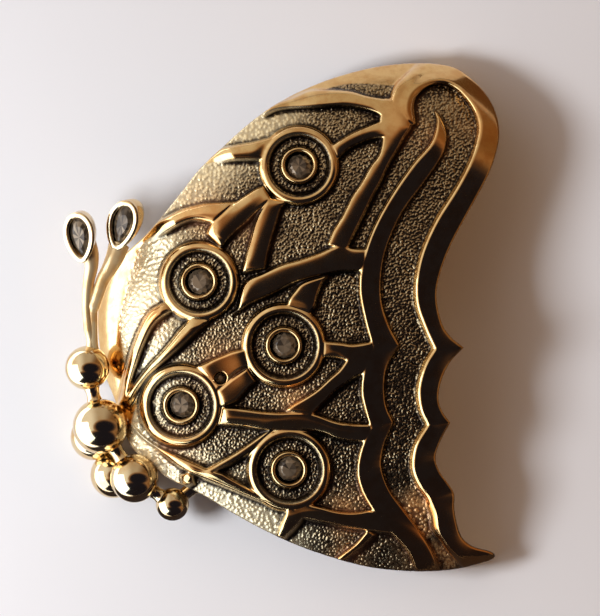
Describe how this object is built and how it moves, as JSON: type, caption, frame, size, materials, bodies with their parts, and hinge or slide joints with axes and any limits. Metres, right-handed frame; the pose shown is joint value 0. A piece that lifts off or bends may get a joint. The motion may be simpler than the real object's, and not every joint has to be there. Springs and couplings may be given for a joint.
{
  "type": "butterfly brooch",
  "caption": "Domed cast brooch in the form of a butterfly in side view, with raised veins, ring-set clear stones, a bead body and a pin across its hollow back.",
  "frame": {"origin": "middle of the bounding box, on the surface that the brooch lies on", "axes": "+Z out of the front of the brooch, which lies on its back; +Y towards the top of the wing; -X towards the body and antennae"},
  "size_m": [0.0392, 0.0458, 0.0107],
  "materials": {
    "antique_gold": "cast, gold plated, dark antique patina in the recesses and polished on what is raised",
    "plain_gold": "gold plated, satin",
    "clear_glass": "cut, polished, foiled back"
  },
  "bodies": {
    "root": {"casting": "antique_gold", "wing_stone_1": "clear_glass", "wing_stone_2": "clear_glass", "wing_stone_3": "clear_glass", "wing_stone_4": "clear_glass", "wing_stone_5": "clear_glass", "antenna_stone_1": "clear_glass", "antenna_stone_2": "clear_glass", "brooch_pin": "plain_gold"}
  },
  "joints": []
}
